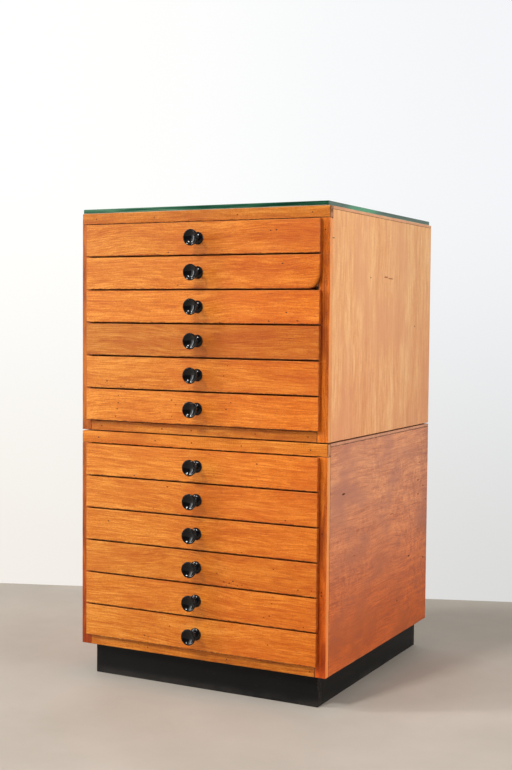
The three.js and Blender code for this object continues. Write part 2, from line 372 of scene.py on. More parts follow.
def plinth_paint():
    """Black brushed paint over wood, rubbed to brown on the arrises and dusty near the floor."""
    g = Graph(bpy.data.materials.new("black_plinth_paint"))
    grain = g.attribute("grain").outputs["Vector"]
    rim = g.attribute("rim").outputs["Vector"]
    brush = g.noise(g.scaled(grain, (8, 260, 260)), detail=3, roughness=0.65)
    cloud = g.noise(g.scaled(grain, (9, 14, 14)), detail=4, roughness=0.6)
    scuff = g.noise(g.scaled(grain, (60, 200, 200), (4, 1, 2)), detail=3, distortion=1.2)
    shade = g.add(0.5, g.centred(brush, 0.5), g.centred(cloud, 0.8))
    colour = g.ramp(shade, [(0.2, (0.0018, 0.0018, 0.002)), (0.8, (0.006, 0.0055, 0.005))])
    nearest = g.math("MINIMUM", g.math("MINIMUM", g.axis(rim, 1), g.axis(rim, 2)), g.axis(rim, 0))
    arris = g.times(g.span(nearest, 0.0, RUBBED_WIDTH, 1, 0), g.span(scuff, 0.52, 0.66))
    colour = g.mix(g.times(arris, 0.45), colour, (0.07, 0.05, 0.04))
    dust = g.times(g.span(g.axis(rim, 1), 0.0, DUST_HEIGHT, 1, 0), g.span(cloud, 0.35, 0.7))
    colour = g.mix(g.times(dust, 0.16), colour, (0.16, 0.14, 0.12))
    marks = g.span(scuff, 0.68, 0.78, 0, 0.35)
    colour = g.mix(marks, colour, (0.07, 0.065, 0.06))
    gloss = g.add(0.50, g.centred(cloud, 0.2), g.centred(brush, 0.15), g.times(dust, 0.3))
    normal = g.bump(g.add(brush, g.times(cloud, 0.8)), 0.35, 0.0006)
    return g.finish(colour, gloss, normal, specular=0.14)


def knob_plastic():
    """Polished black plastic with fine handling scratches."""
    g = Graph(bpy.data.materials.new("black_knob_plastic"))
    place = g.node("ShaderNodeTexCoord").outputs["Object"]
    cloud = g.noise(place, 180, detail=3)
    fine = g.noise(g.scaled(place, (1, 1, 6)), 900, detail=2, roughness=0.7)
    colour = g.ramp(cloud, [(0.3, (0.0015, 0.0015, 0.002)), (0.8, (0.005, 0.0045, 0.0045))])
    gloss = g.add(0.12, g.centred(cloud, 0.08), g.times(g.span(fine, 0.6, 0.75), 0.12))
    normal = g.bump(fine, 0.06, 0.0002)
    return g.finish(colour, gloss, normal, specular=0.26)


def small_mark(name, dark, light):
    """Filler and rust in a nail hole, or the stained wood in a scratch."""
    g = Graph(bpy.data.materials.new(name))
    place = g.node("ShaderNodeTexCoord").outputs["Object"]
    cloud = g.noise(place, 900, detail=2)
    colour = g.ramp(cloud, [(0.3, dark), (0.7, light)])
    return g.finish(colour, g.add(0.6, g.centred(cloud, 0.3)), specular=0.1)


def clear_glass():
    """The sheet's faces: see-through, faintly green, with fingerprints in the gloss."""
    g = Graph(bpy.data.materials.new("glass_face"))
    place = g.node("ShaderNodeTexCoord").outputs["Object"]
    smear = g.noise(place, 22, detail=4, roughness=0.65)
    rough = g.span(smear, 0.45, 0.75, 0.02, 0.10)
    tint = g.ramp(smear, [(0.2, (0.94, 0.975, 0.955)), (0.8, (0.96, 0.985, 0.97))])
    clear = g.node("ShaderNodeBsdfTransparent", {"Color": tint})
    shine = g.node("ShaderNodeBsdfGlossy", {"Color": (0.95, 1.0, 0.97, 1.0), "Roughness": rough})
    facing = g.node("ShaderNodeLayerWeight", {"Blend": 0.5}).outputs["Facing"]
    mirror = g.math("MULTIPLY_ADD", g.math("POWER", facing, 5.0), 0.92, 0.05, clamp=True)
    both = g.node("ShaderNodeMixShader", {0: mirror, 1: clear.outputs[0], 2: shine.outputs[0]})
    g.node("ShaderNodeOutputMaterial", {"Surface": both.outputs[0]})
    return g.owner


def green_glass_edge():
    """The ground edges, where the light has come the whole way through the sheet."""
    g = Graph(bpy.data.materials.new("glass_edge"))
    place = g.node("ShaderNodeTexCoord").outputs["Object"]
    long_streak = g.noise(g.scaled(place, (9, 5, 420)), detail=3, distortion=0.5)
    patch = g.noise(g.scaled(place, (7, 9, 60), (0.7, 0, 0)), detail=2)
    # Painted light: the front edge is lighter towards the left, where light from the left is reflected
    # inside the sheet.
    painted_light_leftward = g.span(g.axis(place, 0), 0.10, -0.25, 0.0, 0.34)
    shade = g.add(0.34, g.centred(long_streak, 1.5), g.centred(patch, 0.6), painted_light_leftward)
    colour = g.ramp(
        shade,
        [(0.15, (0.002, 0.028, 0.014)), (0.5, (0.018, 0.095, 0.050)), (0.85, (0.10, 0.22, 0.13))],
    )
    # Along the sides the sheet is greyer, with one clear green stretch towards the front.
    along = g.axis(place, 1)
    normal_x = g.axis(g.node("ShaderNodeNewGeometry").outputs["Normal"], 0)
    beside = g.span(g.math("ABSOLUTE", normal_x), 0.6, 0.8)
    grey = g.ramp(shade, [(0.2, (0.07, 0.13, 0.105)), (0.8, (0.17, 0.25, 0.23))])
    clear = g.times(g.span(along, -0.18, -0.12), g.span(along, -0.06, 0.02, 1, 0))
    grey = g.mix(g.times(clear, g.span(patch, 0.3, 0.6)), grey, (0.10, 0.34, 0.20))
    colour = g.mix(beside, colour, grey)
    gloss = g.add(0.26, g.centred(patch, 0.1))
    normal = g.bump(long_streak, 0.2, 0.0003)
    return g.finish(colour, gloss, normal, specular=0.1)


def ground_arris():
    """The sheet's lower arris, ground matt, which gathers light and dust."""
    g = Graph(bpy.data.materials.new("glass_arris"))
    place = g.node("ShaderNodeTexCoord").outputs["Object"]
    cloud = g.noise(g.scaled(place, (40, 40, 400)), detail=2)
    colour = g.ramp(cloud, [(0.3, (0.55, 0.62, 0.50)), (0.7, (0.86, 0.88, 0.78))])
    return g.finish(colour, g.add(0.6, g.centred(cloud, 0.2)))


# The bare woods from their dark streaks to their light ones.
PALE = ((0.42, 0.25, 0.12), (0.58, 0.38, 0.20), (0.70, 0.50, 0.29))
PLY_BACK = ((0.30, 0.17, 0.075), (0.44, 0.27, 0.13), (0.55, 0.36, 0.19))

FRONT = Look(
    (0.47, 0.101, 0.006),
    (0.615, 0.187, 0.0145),
    (0.775, 0.305, 0.048),
    (0.54, 0.127, 0.009),
    fibre=2.1,
    clouds=0.38,
    patches=0.5,
    dashes=0.55,
    pits=0.18,
    sheen=0.24,
    end_face=(0.33, 0.066, 0.006),
    # Painted shade: redder and darker towards the right, where the gloss of the light from the left fades.
    right_painted_shade=(1.0, 0.77, 0.48),
)
RAIL = Look(
    (0.365, 0.080, 0.005),
    (0.575, 0.166, 0.012),
    (0.755, 0.278, 0.040),
    (0.42, 0.088, 0.006),
    figure=1.3,
    fibre=1.3,
    chatter=0.25,
    sheen=0.2,
    end_face=(0.55, 0.24, 0.12),
    dirt_width=1.6 * MM,
)
FRAME = Look(
    (0.31, 0.052, 0.005),
    (0.62, 0.140, 0.009),
    (0.78, 0.225, 0.023),
    (0.31, 0.052, 0.005),
    figure=1.5,
    fibre=1.3,
    clouds=0.85,
    sheen=0.2,
    edge_face=(0.80, 0.32, 0.108),
    low_tint=(0.93, 0.60, 0.36),
)
SIDE_UPPER = Look(
    (0.76, 0.330, 0.122),
    (0.89, 0.445, 0.177),
    (1.00, 0.620, 0.285),
    (0.80, 0.360, 0.165),
    figure=1.4,
    fibre=1.9,
    streaks=13.0,
    clouds=0.75,
    cloud_size=2.2,
    dashes=0.16,
    pits=0.01,
    roughness=0.46,
    sheen=0.4,
    edge_face=(0.74, 0.34, 0.18),
    low_tint=(0.94, 0.84, 0.83),
    low_tint_range=(0.80, 0.48),
    back_tint=(0.89, 0.90, 0.90),
    back_tint_range=(-0.15, 0.25),
    dirt_width=0.9 * MM,
)
SIDE_LOWER = Look(
    (0.45, 0.146, 0.072),
    (0.66, 0.252, 0.121),
    (0.84, 0.360, 0.160),
    (0.46, 0.176, 0.114),
    figure=0.95,
    fibre=1.7,
    clouds=0.8,
    cloud_size=1.5,
    ripple=1.15,
    dashes=0.3,
    pits=0.05,
    sheen=0.4,
    edge_face=(0.66, 0.30, 0.17),
    low_tint=(0.83, 0.37, 0.03),
    back_tint=(0.86, 0.84, 0.86),
    dirt_width=1.8 * MM,
)

MATERIALS = {
    "front": varnished_wood("front_wood", FRONT),
    "face_frame": varnished_wood("frame_wood", FRAME),
    "rail": varnished_wood("rail_wood", RAIL),
    "side_upper": varnished_wood("upper_side_ply", SIDE_UPPER),
    "side_lower": varnished_wood("lower_side_ply", SIDE_LOWER),
    "interior": bare_wood("bare_inside_wood", PALE),
    "back": bare_wood("back_ply", PLY_BACK),
    "plinth": plinth_paint(),
    "knob": knob_plastic(),
    "nail": small_mark("nail_filler", (0.045, 0.014, 0.007), (0.15, 0.043, 0.016)),
    "scratch": small_mark("scratched_wood", (0.30, 0.075, 0.032), (0.50, 0.17, 0.070)),
    "glass": clear_glass(),
    "glass_edge": green_glass_edge(),
    "glass_arris": ground_arris(),
}


# ---- Meshes ----

ARRIS_ANGLES = (45, 30, 15, 0)  # of the points across half a rounded arris, in degrees
FLAT = 1e-7  # two places nearer than this are the same


def linked(name, data):
    """A new object in the scene with this mesh, light or camera."""
    made = bpy.data.objects.new(name, data)
    bpy.context.scene.collection.objects.link(made)
    return made


class Shell:
    """Gathers boards into one mesh, with what the wood materials read at each point."""

    def __init__(self, seed):
        self.chance = random.Random(seed)
        self.points = []
        self.faces = []
        self.vectors = {"grain": [], "rim": [], "seams": [], "faces": [], "place": []}
        self.tone = []

    def stops(self, low, high, radius, step):
        """Places along one side: inside the rounded arris at each end, and a step apart between."""
        curve = [radius * (1 - math.tan(math.radians(angle))) for angle in ARRIS_ANGLES]
        inner = high - low - 2 * radius
        count = max(1, round(inner / step))
        middle = [low + radius + inner * i / count for i in range(1, count)]
        return [low + t for t in curve] + middle + [high - t for t in reversed(curve)]

    def board(self, low, high, along, radius=0.8 * MM, step=12 * MM, tone=1.0, seams=(0, 0, 0), shape=None):
        """A board between two corners, its grain along one axis, its arrises worn unevenly round.

        seams says how dirty its edges are: the ends, and the low and high long edges. shape(point,
        tone), if given, gives back the place and tone to store instead.
        """
        low, high = Vector(low), Vector(high)
        size = high - low
        thick = min(range(3), key=lambda axis: size[axis])
        if thick == along:
            thick = min((a for a in range(3) if a != along), key=lambda axis: size[axis])
        across = 3 - along - thick
        radius = min(radius, 0.45 * min(size))
        lines = [self.stops(low[a], high[a], radius, step) for a in range(3)]
        last = [len(line) - 1 for line in lines]
        # Every board is cut from another place in the wood.
        shift = Vector([self.chance.uniform(-50, 50) for _ in range(3)])
        index = {}

        def vertex(i, j, k):
            key = (i, j, k)
            if key not in index:
                index[key] = len(self.points)
                self.add_point(
                    Vector((lines[X][i], lines[Y][j], lines[Z][k])),
                    (low, high, along, across, thick, radius, shift, tone, seams, shape),
                )
            return index[key]

        for a in range(3):
            b, c = (a + 1) % 3, (a + 2) % 3
            for at_end in (False, True):
                for m in range(last[b]):
                    for n in range(last[c]):
                        corners = [(m, n), (m + 1, n), (m + 1, n + 1), (m, n + 1)]
                        if not at_end:
                            corners.reverse()
                        face = []
                        for p, q in corners:
                            key = [0, 0, 0]
                            key[a] = last[a] if at_end else 0
                            key[b], key[c] = p, q
                            face.append(vertex(*key))
                        self.faces.append(face)
        return self

    def add_point(self, point, spec):
        low, high, along, across, thick, radius, shift, tone, seams, shape = spec
        uneven = noise.noise(point * 55 + shift) + 0.5 * noise.noise(point * 190 + shift)
        local = radius * min(1.0, max(0.4, 0.75 + 0.4 * uneven))
        core = Vector([min(max(point[a], low[a] + local), high[a] - local) for a in range(3)])
        out = point - core
        placed = core + out.normalized() * local if out.length > 0 else point
        if sum(abs(out[a]) > 1e-9 for a in range(3)) == 1:
            placed = point
        to_ends = min(point[along] - low[along], high[along] - point[along])
        to_low, to_high = point[across] - low[across], high[across] - point[across]
        to_broad = min(point[thick] - low[thick], high[thick] - point[thick])
        on_end = 1.0 if to_ends < FLAT else 0.0
        on_edge = 1.0 if min(to_low, to_high) < FLAT < to_broad else 0.0
        if shape:
            placed, tone = shape(placed, tone)
            point = placed
        self.points.append(placed)
        self.tone.append(tone)
        stored = self.vectors
        stored["grain"].append(Vector((point[along], point[across], point[thick])) + shift)
        stored["rim"].append((to_ends, to_low, to_high))
        stored["seams"].append(seams)
        stored["faces"].append((on_end, on_edge, to_broad))
        stored["place"].append(tuple(point))

    def make(self, name, material):
        mesh = bpy.data.meshes.new(name)
        mesh.from_pydata([tuple(p) for p in self.points], [], self.faces)
        for attribute, values in self.vectors.items():
            layer = mesh.attributes.new(attribute, "FLOAT_VECTOR", "POINT")
            layer.data.foreach_set("vector", [c for value in values for c in value])
        layer = mesh.attributes.new("tone", "FLOAT", "POINT")
        layer.data.foreach_set("value", self.tone)
        mesh.shade_smooth()
        mesh.materials.append(material)
        return linked(name, mesh)


def settle(piece, body, slot, *nodes):
    """Puts a piece on its body and hides the CAD nodes it stands for. Its slot is not used."""
    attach(piece, body)
    if nodes:
        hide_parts(*nodes)
    return piece


def turned(name, centre, profile, material, segments=64):
    """A solid of revolution about Y. The profile is (radius, distance towards -Y), from axis to axis."""
    points, faces, rings = [], [], []
    for radius, out in profile:
        if radius < FLAT:
            rings.append([len(points)])
            points.append((centre.x, centre.y - out, centre.z))
            continue
        ring = []
        for s in range(segments):
            angle = 2 * math.pi * s / segments
            ring.append(len(points))
            x = centre.x + radius * math.cos(angle)
            z = centre.z + radius * math.sin(angle)
            points.append((x, centre.y - out, z))
        rings.append(ring)
    for inner, outer in zip(rings, rings[1:]):
        for s in range(segments):
            t = (s + 1) % segments
            if len(inner) == 1:
                faces.append((inner[0], outer[t], outer[s]))
            elif len(outer) == 1:
                faces.append((inner[s], inner[t], outer[0]))
            else:
                faces.append((inner[s], inner[t], outer[t], outer[s]))
    mesh = bpy.data.meshes.new(name)
    mesh.from_pydata(points, [], faces)
    mesh.shade_smooth()
    mesh.materials.append(material)
    return linked(name, mesh)


def arc(centre, radius, start, end, steps):
    """Points of a circular arc, angles in degrees, both ends included."""
    found = []
    for i in range(steps + 1):
        angle = math.radians(start + (end - start) * i / steps)
        found.append((centre[0] + radius * math.cos(angle), centre[1] + radius * math.sin(angle)))
    return found


# ---- Drawers ----

# How far each front leans from the common colour, top to bottom.
FRONT_TONES = (0.94, 0.99, 1.05, 0.80, 0.97, 1.04, 1.04, 1.01, 0.99, 0.93, 0.98, 0.96)

# Dents and dark marks on the fronts as (x, z) from each front's middle, in millimetres.
FRONT_MARKS = {
    1: ((143, 10), (154, 11), (-60, -24), (-88, -26)),
    2: ((166, 14), (-40, -22)),
    3: ((45, -27), (195, -23), (174, -9), (141, -24)),
    5: ((61, 18), (54, 0), (-159, -25), (-190, -16)),
    6: (
        *((-165, 18), (-165, 5), (-167, -6), (-171, -20), (-43, 6)),
        *((-52, 14), (-51, -15), (68, 14), (59, 2)),
    ),
    7: ((-130, -24), (120, 12)),
    8: ((-60, 20), (176, -22)),
    9: ((-186, 8), (92, -25)),
    10: (
        *((43, -6), (68, -21), (57, -20), (84, -24), (75, -17)),
        *((62, -25), (93, -22), (154, 12), (201, -19), (226, -18)),
    ),
    11: ((151, 12), (147, -10), (136, -14), (212, -22)),
    12: ((-99, -17), (-107, -15), (-54, 8), (144, -1)),
}


# The worn corner follows a superellipse. Its arris is rubbed back, and darkened there with painted shade.
WORN_WIDTH = 26 * MM
WORN_HEIGHT = 38 * MM
WORN_POWER = 3.0
WORN_BAND = 0.20  # the share of the corner's reach that is rubbed
WORN_SINK = 1.8 * MM
WORN_PAINTED_SHADE = 0.55


def worn_corner(low, high):
    """Wears off the front's lower right corner, where a hand has pulled at it for years.

    Gives a function that moves a point of the plain board and darkens its tone with painted shade.
    """
    start_x = high.x - WORN_WIDTH
    start_z = low.z + WORN_HEIGHT
    thickness = high.y - low.y

    def wear(point, tone):
        u = (point.x - start_x) / WORN_WIDTH
        v = (start_z - point.z) / WORN_HEIGHT
        if u <= 0 or v <= 0:
            return point, tone
        reach = max(u, v)
        squeeze = reach / (u**WORN_POWER + v**WORN_POWER) ** (1 / WORN_POWER)
        corner = min(u, v) / reach
        behind = (point.y - low.y) / thickness
        rubbed = max(0, (reach - 1 + WORN_BAND) / WORN_BAND) ** 2 * min(1, 1.6 * corner)
        x = start_x + u * squeeze * WORN_WIDTH
        y = point.y + WORN_SINK * rubbed * (1 - behind)
        z = start_z - v * squeeze * WORN_HEIGHT
        # the tone drops as painted shade where the corner is rubbed back
        return Vector((x, y, z)), tone * (1 - WORN_PAINTED_SHADE * rubbed)

    return wear


def make_front(label, number):
    low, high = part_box(f"{label}_front")
    shell = Shell(number)
    shape, step = None, 6 * MM
    if label == WORN_DRAWER:
        shape, step = worn_corner(low, high), 3 * MM
    tone = FRONT_TONES[number - 1]
    shell.board(low, high, X, 1.1 * MM, step, tone, seams=(0.3, 0.85, 0.1), shape=shape)
    piece = shell.make(f"{label}_front_board", MATERIALS["front"])
    slot = "front_dark" if label == DARK_DRAWER else "front"
    return settle(piece, label, slot, f"{label}_front")


TRAY_WALL = 8 * MM
TRAY_BOTTOM = 4 * MM
COARSE = 40 * MM  # between the points of a board that is seldom seen


def make_tray(label, number):
    """Two long sides, a front and a back wall between them, and a thin bottom nailed on below."""
    low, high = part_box(f"{label}_tray")
    tone = 0.92 + 0.12 * random.Random(number).random()
    shell = Shell(100 + number)
    floor_top = low.z + TRAY_BOTTOM
    for x0, x1 in ((low.x, low.x + TRAY_WALL), (high.x - TRAY_WALL, high.x)):
        shell.board((x0, low.y, floor_top), (x1, high.y, high.z), Y, step=COARSE, tone=tone)
    left, right = low.x + TRAY_WALL, high.x - TRAY_WALL
    for y0, y1 in ((low.y, low.y + TRAY_WALL), (high.y - TRAY_WALL, high.y)):
        shell.board((left, y0, floor_top), (right, y1, high.z), X, step=COARSE, tone=tone)
    shell.board(low, (high.x, high.y, floor_top), X, radius=0.5 * MM, step=COARSE, tone=1.08 * tone)
    piece = shell.make(f"{label}_tray_boards", MATERIALS["interior"])
    return settle(piece, label, "interior", f"{label}_tray")


# The knob's outline as (radius, distance from the front), in millimetres: the foot's sloping shoulder,
# then the slim neck and the flare under the head.
KNOB_SHOULDER = ((10.6, 1.65), (9.9, 2.2), (9.1, 2.74), (8.3, 3.2), (7.4, 3.63), (6.4, 4.02), (5.2, 4.36))
KNOB_NECK = ((4.4, 4.6), (4.2, 5.2), (4.2, 11), (4.8, 14), (6.2, 16.6), (8.4, 19))
KNOB_BASE = 11.3 * MM
KNOB_RIM = 1.5 * MM
KNOB_DISH = 3.8 * MM  # how deep the face is hollowed
KNOB_DISH_STEPS = 10


def knob_profile(length, head):
    """From the middle of the foot, up the neck and over the rim, to the middle of the dished face."""
    profile = [(0, 0), (KNOB_BASE - 0.4 * MM, 0), (KNOB_BASE, 0.3 * MM), (KNOB_BASE - 0.2 * MM, 1.0 * MM)]
    profile += [(radius * MM, out * MM) for radius, out in KNOB_SHOULDER + KNOB_NECK]
    profile += [(head - 2.6 * MM, 21.6 * MM), (head - 0.6 * MM, 23.3 * MM)]
    profile += arc((head - KNOB_RIM, length - KNOB_RIM), KNOB_RIM, -18, 105, 10)
    inner = head - KNOB_RIM - 0.6 * MM
    for i in range(1, KNOB_DISH_STEPS + 1):
        share = 1 - i / KNOB_DISH_STEPS
        profile.append((inner * share, length - 0.1 * MM - KNOB_DISH * (1 - share**2.5)))
    return profile


def make_knob(label):
    low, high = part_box(f"{label}_knob")
    front_low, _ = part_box(f"{label}_front")
    centre = Vector(((low.x + high.x) / 2, front_low.y, (low.z + high.z) / 2))
    head = (high.x - low.x) / 2
    profile = knob_profile(front_low.y - low.y, head)
    piece = turned(f"{label}_turned_knob", centre, profile, MATERIALS["knob"])
    return settle(piece, label, "knob_black", f"{label}_knob")


FORWARD = Vector((0, -1, 0))
RIGHTWARD = Vector((1, 0, 0))
MARK_POINTS = 10
MARK_PROUD = 0.04 * MM


class Spots:
    """Small flat ragged discs, a hair proud of the wood: filled nail holes, dents and scratches."""

    def __init__(self, seed, material):
        self.chance = random.Random(seed)
        self.material = MATERIALS[material]
        self.points = []
        self.faces = []

    def add(self, centre, out, radius, stretch=1.0):
        """Stretch lengthens the mark level with the ground."""
        level = Vector((0, 0, 1)).cross(out)
        start = len(self.points)
        centre = centre + out * MARK_PROUD
        self.points.append(centre)
        for s in range(MARK_POINTS):
            angle = 2 * math.pi * s / MARK_POINTS
            reach = radius * self.chance.uniform(0.8, 1.15)
            sideways = level * reach * stretch * math.cos(angle)
            self.points.append(centre + sideways + Vector((0, 0, reach * math.sin(angle))))
            self.faces.append((start, start + 1 + s, start + 1 + (s + 1) % MARK_POINTS))

    def make(self, name, body, slot):
        mesh = bpy.data.meshes.new(name)
        mesh.from_pydata(self.points, [], self.faces)
        mesh.materials.append(self.material)
        return settle(linked(name, mesh), body, slot)


def make_front_marks(label, number):
    low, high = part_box(f"{label}_front")
    middle = (low + high) / 2
    marks = Spots(400 + number, "nail")
    for x, z in FRONT_MARKS[number]:
        centre = Vector((middle.x + x * MM, low.y, middle.z + z * MM))
        marks.add(centre, FORWARD, 1.0 * MM, marks.chance.uniform(0.9, 2.2))
    marks.make(f"{label}_front_marks", label, "front")


for order, drawer in enumerate(DRAWERS, start=1):
    make_front(drawer, order)
    make_tray(drawer, order)
    make_knob(drawer)
    if order in FRONT_MARKS:
        make_front_marks(drawer, order)


# ---- Cases ----

HAIRLINE = 0.1 * MM  # each board stops this far short of its neighbours
SETTLED = 2.0 * MM  # the gap that the upper case leaves where it sits on the lower one
LINING = 8 * MM  # the runner board without its strips
RUNNER_THICKNESS = 6 * MM
RUNNER_CLEARANCE = 0.5 * MM  # under each tray
DRAWERS_OF = {"upper": DRAWERS[:6], "lower": DRAWERS[6:]}

# The sides' grain, and how dirty the joints round them are: the ends, and the low and high long edges.
SIDE_GRAIN = {"upper": Z, "lower": Y}
SIDE_SEAMS = {"upper": (1.0, 0.25, 0.15), "lower": (0.5, 0.15, 0.8)}
STILE_TONES = {"left": 0.70, "right": 1.07}
TOP_RAIL_TONES = {"upper": 0.85, "lower": 1.06}
BOTTOM_RAIL_TONE = 0.96
# The runner boards are toned dark: partly aged, dirty wood, partly painted shade for the case's dark inside.
LINING_SHADED_TONE = 0.6
STRIP_SHADED_TONE = 0.55


def case_box(node):
    low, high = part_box(node)
    inset = Vector((HAIRLINE, HAIRLINE, HAIRLINE))
    low, high = low + inset, high - inset
    upper_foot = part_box("upper_bottom_panel")[0].z
    if abs(low.z - upper_foot) < MM:
        low.z = upper_foot + SETTLED
    return low, high


def make_case_board(node, along, material, slot, seed, radius=0.8 * MM, step=14 * MM, **board):
    low, high = case_box(node)
    shell = Shell(seed)
    shell.board(low, high, along, radius, step, **board)
    return settle(shell.make(f"{node}_board", MATERIALS[material]), ROOT, slot, node)


def make_runner_board(case, side, seed):
    """The thin lining board and the six strips that its drawers run on."""
    node = f"{case}_{side}_runner_board"
    low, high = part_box(node)
    shell = Shell(seed)
    if side == "left":
        outer, joint, inner = low.x, low.x + LINING, high.x
    else:
        inner, joint, outer = low.x, high.x - LINING, high.x
    x0, x1 = min(outer, joint), max(outer, joint)
    shell.board((x0, low.y, low.z), (x1, high.y, high.z), Y, step=COARSE, tone=LINING_SHADED_TONE)
    x0, x1 = min(inner, joint), max(inner, joint)
    for drawer in DRAWERS_OF[case]:
        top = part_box(f"{drawer}_tray")[0].z - RUNNER_CLEARANCE
        strip_low, strip_high = (x0, low.y, top - RUNNER_THICKNESS), (x1, high.y, top)
        shell.board(strip_low, strip_high, Y, radius=1 * MM, step=COARSE, tone=STRIP_SHADED_TONE)
    return settle(shell.make(f"{node}_and_strips", MATERIALS["interior"]), ROOT, "interior", node)


def make_case(case, seed):
    side_look = f"side_{case}"
    seams = SIDE_SEAMS[case]
    for offset, side in enumerate(("left", "right")):
        panel = f"{case}_{side}_side_panel"
        grain = SIDE_GRAIN[case]
        make_case_board(panel, grain, side_look, side_look, seed + offset, 1.0 * MM, seams=seams)
        stile = f"{case}_{side}_stile"
        tone = STILE_TONES[side]
        make_case_board(stile, Z, "face_frame", "face_frame", seed + 2 + offset, 0.9 * MM, 8 * MM, tone=tone)
        make_runner_board(case, side, seed + 4 + offset)
    rails = (
        ("top_rail", 1.1 * MM, (0.8, 0.9, 0), TOP_RAIL_TONES[case]),
        ("bottom_rail", 1.0 * MM, (1, 0.5, 0.5), BOTTOM_RAIL_TONE),
    )
    for offset, (rail, radius, seams, tone) in enumerate(rails):
        node = f"{case}_{rail}"
        own_seed = seed + 6 + offset
        make_case_board(node, X, "rail", "face_frame", own_seed, radius, 8 * MM, seams=seams, tone=tone)
    make_case_board(f"{case}_top_panel", Y, side_look, side_look, seed + 8, 0.9 * MM, seams=(0.5, 0.2, 0.2))
    make_case_board(f"{case}_bottom_panel", X, "interior", "interior", seed + 9, 0.6 * MM, COARSE)
    make_case_board(f"{case}_back_panel", Z, "back", "back", seed + 10, 0.6 * MM, COARSE)


for order, case in enumerate(CASES):
    make_case(case, 2000 + 20 * order)


# ---- Plinth ----

PLINTH_BOARD = 18 * MM


def make_plinth():
    low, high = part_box("plinth_frame")
    shell = Shell(300)
    side_low = low.y + PLINTH_BOARD
    side_high = high.y - PLINTH_BOARD
    shell.board(low, (high.x, side_low, high.z), X, radius=1.0 * MM)
    shell.board((low.x, side_high, low.z), high, X, radius=1.0 * MM)
    for x0, x1 in ((low.x, low.x + PLINTH_BOARD), (high.x - PLINTH_BOARD, high.x)):
        shell.board((x0, side_low, low.z), (x1, side_high, high.z), Y, radius=0.9 * MM)
    return settle(shell.make("plinth_boards", MATERIALS["plinth"]), ROOT, "plinth_black", "plinth_frame")


make_plinth()


# ---- Glass ----

GLASS_CORNER = 3 * MM
GLASS_ARRIS = 0.9 * MM


def make_glass():
    """A float glass sheet with rounded corners and ground arrises."""
    low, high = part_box("glass_top")
    corners = ((high.x, high.y, 0), (low.x, high.y, 90), (low.x, low.y, 180), (high.x, low.y, 270))

    def outline(inset):
        points = []
        for x, y, start in corners:
            centre = (x - math.copysign(GLASS_CORNER, x), y - math.copysign(GLASS_CORNER, y))
            points += arc(centre, GLASS_CORNER - inset, start, start + 90, 6)
        return points

    arris = GLASS_ARRIS
    levels = [(low.z, arris), (low.z + arris, 0.0), (high.z - arris, 0.0), (high.z, arris)]
    points, faces = [], []
    for z, inset in levels:
        points += [(x, y, z) for x, y in outline(inset)]
    count = len(points) // len(levels)
    for level in range(len(levels) - 1):
        for s in range(count):
            t = (s + 1) % count
            a, b = level * count, (level + 1) * count
            faces.append((a + s, a + t, b + t, b + s))
    bottom = len(faces)
    faces.append(tuple(reversed(range(count))))
    faces.append(tuple(range(3 * count, 4 * count)))
    mesh = bpy.data.meshes.new("glass_sheet")
    mesh.from_pydata(points, [], faces)
    for material in ("glass_edge", "glass", "glass_arris"):
        mesh.materials.append(MATERIALS[material])
    for polygon in mesh.polygons:
        if polygon.index >= bottom:
            polygon.material_index = 1
        elif polygon.index < count:  # the lower arris
            polygon.material_index = 2
    return settle(linked("glass_sheet", mesh), ROOT, "top_glass", "glass_top")


make_glass()


# ---- Nails ----

# Filled nail holes on the face frame as (x, z), in millimetres.
FRAME_NAILS = (
    *((x, 848) for x in (-219, -95, 74, 217)),
    *((x, 469) for x in (-207, -77, -16, 112, 213)),
    *((x, 447) for x in (-214, -91, -15, 85, 218)),
    *((x, 67) for x in (-105, 59, 221)),
    *((241, z) for z in (818, 306, 206, 200)),
)
# Marks on the right side as (y, z, radius, stretch), in millimetres. y is from the face frame's front,
# and stretch is how long the mark is for its height.
SIDE_NAILS = (
    (181, 744, 1.3, 1.5),
    (412, 656, 1.3, 1.5),
    (14, 805, 0.8, 6),
    (9, 838, 0.9, 3),
    (5, 852, 0.6, 3),
    (69, 366, 1.8, 4),
    (444, 349, 1.6, 2),
    (446, 321, 1.6, 2),
    (474, 335, 1.1, 3),
    (489, 306, 1.1, 2),
    (396, 204, 1.7, 2.5),
    (480, 188, 1.6, 2),
    (336, 127, 1.4, 2),
)
SIDE_SCRATCHES = (
    (256, 747, 1.4, 7),
    (278, 745, 1.1, 13),
    (452, 384, 1.0, 6),
    (300, 300, 1.0, 9),
    (120, 250, 0.9, 8),
)


def make_nails():
    front = case_box("upper_top_rail")[0].y
    right = case_box("upper_right_stile")[1].x
    nails = Spots(7, "nail")
    for x, z in FRAME_NAILS:
        nails.add(Vector((x * MM, front, z * MM)), FORWARD, 1.4 * MM)
    for y, z, radius, stretch in SIDE_NAILS:
        nails.add(Vector((right, front + y * MM, z * MM)), RIGHTWARD, radius * MM, stretch)
    nails.make("nail_holes", ROOT, "face_frame")
    scratches = Spots(8, "scratch")
    for y, z, radius, stretch in SIDE_SCRATCHES:
        scratches.add(Vector((right, front + y * MM, z * MM)), RIGHTWARD, radius * MM, stretch)
    scratches.make("side_scratches", ROOT, "side_upper")


make_nails()


# ---- Studio ----

# Along the wall, where it starts to darken and where it is darkest.
WALL_LIT = -0.89
WALL_SHADED = 0.42

# The wall stands this far behind the origin, and slants away to the right.
WALL_PLACE = 0.645
WALL_SLOPE = 0.36
WALL_SIZE = 7.0

# What the wall and the surround look like: high and low on the lit left, and high on the shaded right.
LIT_HIGH = (1.02, 1.02, 1.00)
LIT_LOW = (0.90, 0.855, 0.80)
SHADED_HIGH = (0.90, 0.915, 0.94)

FLOOR_REACH = 9.0

